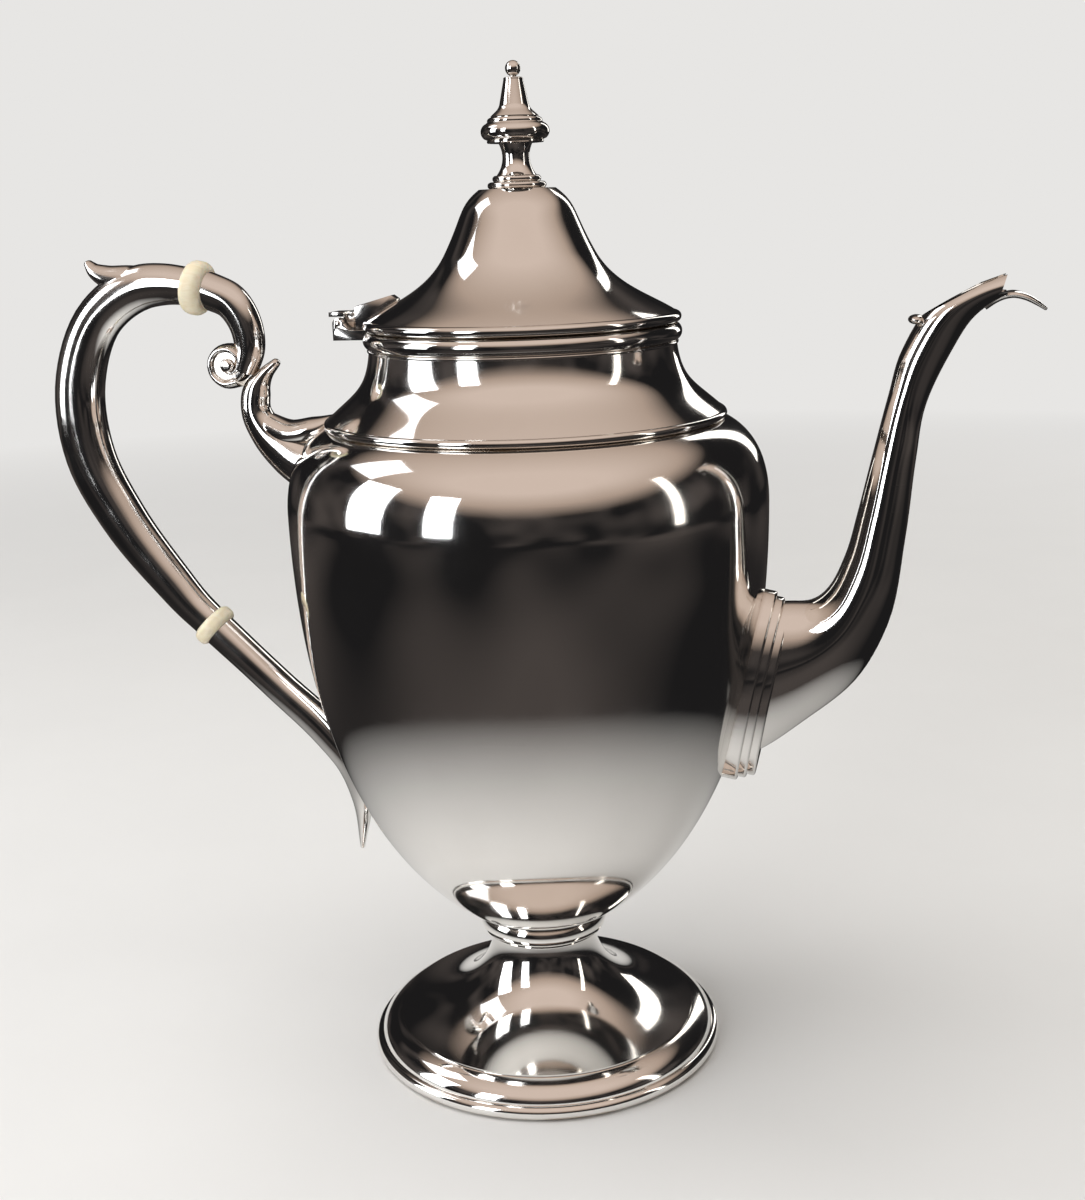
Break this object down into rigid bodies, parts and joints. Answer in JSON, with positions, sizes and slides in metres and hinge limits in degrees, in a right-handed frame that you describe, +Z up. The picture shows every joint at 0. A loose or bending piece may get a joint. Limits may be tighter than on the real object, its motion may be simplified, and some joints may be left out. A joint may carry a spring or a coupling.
{
  "type": "coffee pot",
  "caption": "Footed silver coffee pot with an egg-shaped vessel, swan-neck spout, hinged bell lid with finial, and a scroll handle set off by cream insulators.",
  "frame": {"origin": "on the pot's vertical axis, in the plane of the foot's flat edge", "axes": "+X towards the spout, -X towards the handle, +Z up, +Y to the left of someone who looks along +X"},
  "size_m": [0.2667, 0.127, 0.2667],
  "materials": {
    "silver": "polished silver plate, lightly worn",
    "insulator": "smooth cream, faintly translucent",
    "fastener": "plain turned brass"
  },
  "bodies": {
    "pot": {"vessel": "silver", "neck": "silver", "shoulder_bead": "silver", "mouth_moulding": "silver", "stem_ring": "silver", "foot": "silver", "foot_rim": "silver", "spout": "silver", "spout_collar": "silver", "upper_socket": "silver", "upper_insulator": "insulator", "upper_insulator_pins": "silver", "grip": "silver", "lower_insulator": "insulator", "lower_insulator_pins": "silver", "lower_socket": "silver", "hinge_bracket": "silver", "hinge_pin": "silver"},
    "lid": {"lid_dome": "silver", "lid_rim": "silver", "lid_bezel": "silver", "lid_strap": "silver", "finial_collar": "silver", "finial": "silver", "finial_washer": "fastener", "finial_nut": "fastener"}
  },
  "joints": [
    {"name": "lid_hinge", "type": "hinge", "parent": "pot", "child": "lid", "pos_m": [-0.0488, 0, 0.2029], "axis": [0, -1, 0], "range_deg": [0, 90]}
  ]
}
